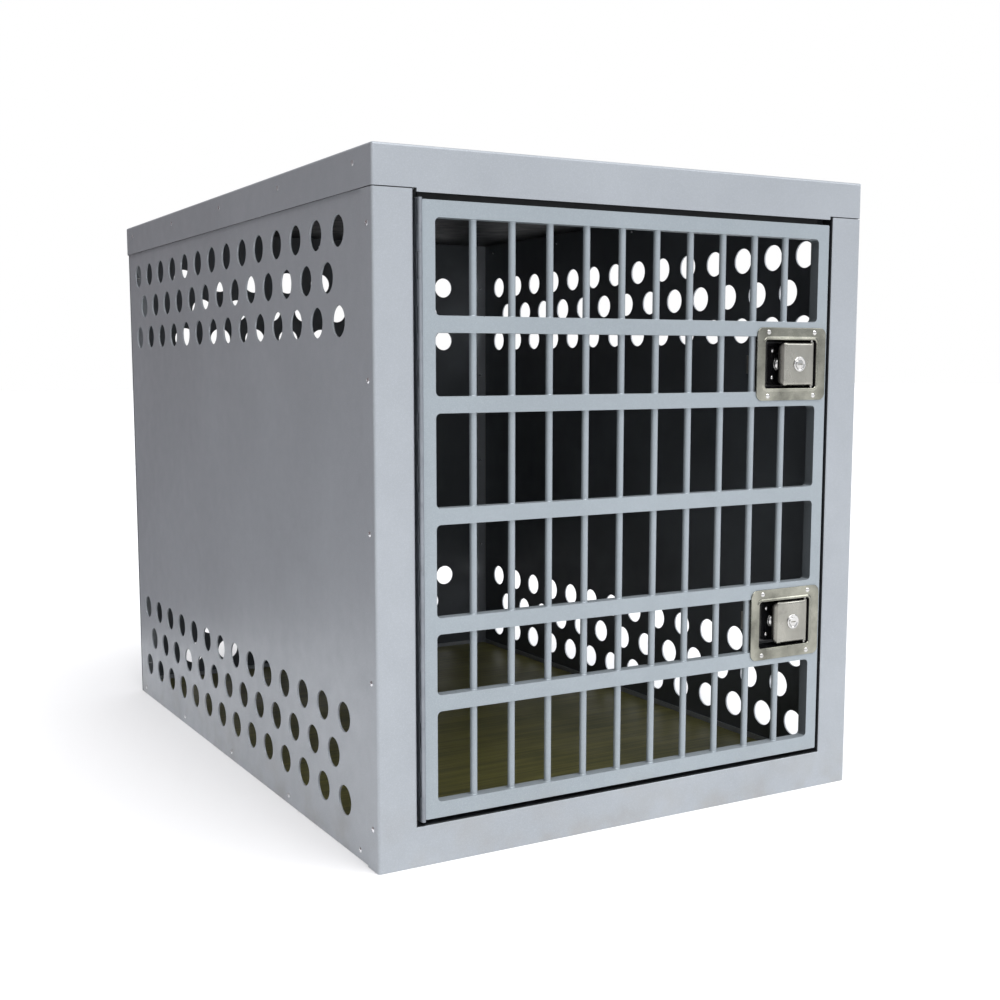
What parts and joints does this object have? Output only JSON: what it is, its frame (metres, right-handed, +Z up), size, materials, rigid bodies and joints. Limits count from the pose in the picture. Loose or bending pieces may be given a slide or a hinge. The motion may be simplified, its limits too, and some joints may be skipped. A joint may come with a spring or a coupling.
{
  "type": "kennel cage",
  "caption": "Sheet-metal dog kennel with bands of round vent holes and a barred front door on a continuous hinge, closed by paddle latches.",
  "frame": {"origin": "on the floor, under the middle of the whole cage's bounding box", "axes": "+Z up; the door faces -Y; +X is to the right for a person who stands in front of the door and looks at it"},
  "size_m": [0.6274, 0.879, 0.711],
  "materials": {
    "body_paint": "powder-coated aluminium sheet, satin, grey-blue",
    "door_paint": "powder-coated aluminium, satin, grey-blue",
    "floor_board": "phenolic-faced plywood, olive brown, streaked",
    "rivets": "bare bright aluminium",
    "hinge_metal": "satin aluminium",
    "latch_dish": "bright stainless, slightly yellow",
    "latch_paddle": "zinc-plated, satin",
    "latch_bright": "polished plated steel",
    "latch_steel": "zinc-plated steel",
    "spring_steel": "oiled spring steel"
  },
  "bodies": {
    "cage": {"top_cap": "body_paint", "left_side_panel": "body_paint", "right_side_panel": "body_paint", "back_panel": "body_paint", "front_frame": "body_paint", "front_header": "body_paint", "floor_pan": "body_paint", "floor_board": "floor_board", "cap_rivets": "rivets", "front_corner_rivets": "rivets", "back_corner_rivets": "rivets", "pan_rivets": "rivets", "hinge_frame_leaf": "hinge_metal", "hinge_pin": "hinge_metal", "hinge_frame_rivets": "rivets", "keeper_upper": "latch_steel", "keeper_lower": "latch_steel", "keeper_rivets": "rivets"},
    "door": {"door_frame": "door_paint", "door_rod_1": "door_paint", "door_rod_2": "door_paint", "door_rod_3": "door_paint", "door_rod_4": "door_paint", "door_rod_5": "door_paint", "door_rod_6": "door_paint", "door_rod_7": "door_paint", "door_rod_8": "door_paint", "door_rod_9": "door_paint", "door_rod_10_upper": "door_paint", "door_rod_10_middle": "door_paint", "door_rod_10_lower": "door_paint", "hinge_door_leaf": "hinge_metal", "hinge_door_rivets": "rivets", "latch_dish_upper": "latch_dish", "paddle_pin_upper": "latch_steel", "bolt_housing_upper": "latch_steel", "bolt_spring_upper": "spring_steel", "latch_rivets_upper": "latch_bright", "stop_stud_upper": "latch_bright", "latch_dish_lower": "latch_dish", "paddle_pin_lower": "latch_steel", "bolt_housing_lower": "latch_steel", "bolt_spring_lower": "spring_steel", "latch_rivets_lower": "latch_bright", "stop_stud_lower": "latch_bright"},
    "paddle_upper": {"paddle_upper": "latch_paddle"},
    "lock_upper": {"lock_plug_upper": "latch_bright", "lock_cam_upper": "latch_steel"},
    "bolt_upper": {"bolt_upper": "latch_steel"},
    "paddle_lower": {"paddle_lower": "latch_paddle"},
    "lock_lower": {"lock_plug_lower": "latch_bright", "lock_cam_lower": "latch_steel"},
    "bolt_lower": {"bolt_lower": "latch_steel"}
  },
  "joints": [
    {"name": "door_hinge", "type": "hinge", "parent": "cage", "child": "door", "pos_m": [-0.2623, -0.4371, 0.355], "axis": [0, 0, -1], "range_deg": [0, 180]},
    {"name": "paddle_upper_hinge", "type": "hinge", "parent": "door", "child": "paddle_upper", "pos_m": [0.2435, -0.4345, 0.50353], "axis": [0, 0, 1], "range_deg": [0, 30]},
    {"name": "bolt_upper_slide", "type": "slide", "parent": "door", "child": "bolt_upper", "axis": [-1, 0, 0], "range_m": [0, 0.0125], "stiffness_N_per_m": 200, "springref_m": -0.01},
    {"name": "lock_upper_turn", "type": "hinge", "parent": "paddle_upper", "child": "lock_upper", "pos_m": [0.2235, -0.4367, 0.50353], "axis": [0, 1, 0], "range_deg": [0, 90]},
    {"name": "paddle_lower_hinge", "type": "hinge", "parent": "door", "child": "paddle_lower", "pos_m": [0.2435, -0.4345, 0.20488], "axis": [0, 0, 1], "range_deg": [0, 30]},
    {"name": "bolt_lower_slide", "type": "slide", "parent": "door", "child": "bolt_lower", "axis": [-1, 0, 0], "range_m": [0, 0.0125], "stiffness_N_per_m": 200, "springref_m": -0.01},
    {"name": "lock_lower_turn", "type": "hinge", "parent": "paddle_lower", "child": "lock_lower", "pos_m": [0.2235, -0.4367, 0.20488], "axis": [0, 1, 0], "range_deg": [0, 90]}
  ],
  "couplings": [
    {"joint": "bolt_upper_slide", "follows": "paddle_upper_hinge", "m_per_rad": 0.0233},
    {"joint": "bolt_lower_slide", "follows": "paddle_lower_hinge", "m_per_rad": 0.0233}
  ]
}
